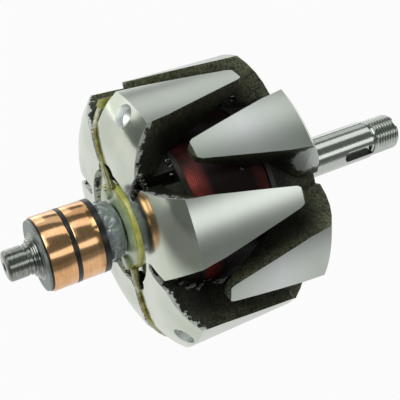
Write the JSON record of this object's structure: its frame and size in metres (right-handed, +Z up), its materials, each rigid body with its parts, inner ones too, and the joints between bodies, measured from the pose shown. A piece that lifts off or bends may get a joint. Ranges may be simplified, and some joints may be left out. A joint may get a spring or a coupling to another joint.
{
  "type": "alternator rotor",
  "caption": "Claw-pole alternator rotor with interleaved tapered claws round a field coil, two slip rings and a keyed, threaded drive shaft.",
  "frame": {"origin": "on the shaft's axis, at the middle of the drive-end bearing seat", "axes": "+X along the shaft from the slip rings to the pulley thread, +Z up with one claw of the slip-ring end's pole at the top"},
  "size_m": [0.1818, 0.106, 0.106],
  "materials": {
    "shaft_steel": "ground and turned bright",
    "pole_steel": "forged, with turned crown and ground outer faces",
    "bobbin_plastic": "varnished moulding",
    "winding_copper": "red enamelled wire",
    "black_insulator": "satin moulding",
    "slip_ring_copper": "fine turned",
    "washer": "satin",
    "retainer_plastic": "varnished translucent moulding",
    "resin": "glossy poured resin",
    "lead_insulation": "varnished sleeve"
  },
  "bodies": {
    "root": {"shaft": "shaft_steel", "core": "shaft_steel", "pole_slip_ring_end": "pole_steel", "pole_drive_end": "pole_steel", "bobbin": "bobbin_plastic", "field_winding": "winding_copper", "ring_insulator": "black_insulator", "slip_ring_inner": "slip_ring_copper", "slip_ring_outer": "slip_ring_copper", "front_washer": "washer", "lead_retainer": "retainer_plastic", "resin_collar": "resin", "lead_upper": "lead_insulation", "lead_lower": "lead_insulation"}
  },
  "joints": []
}
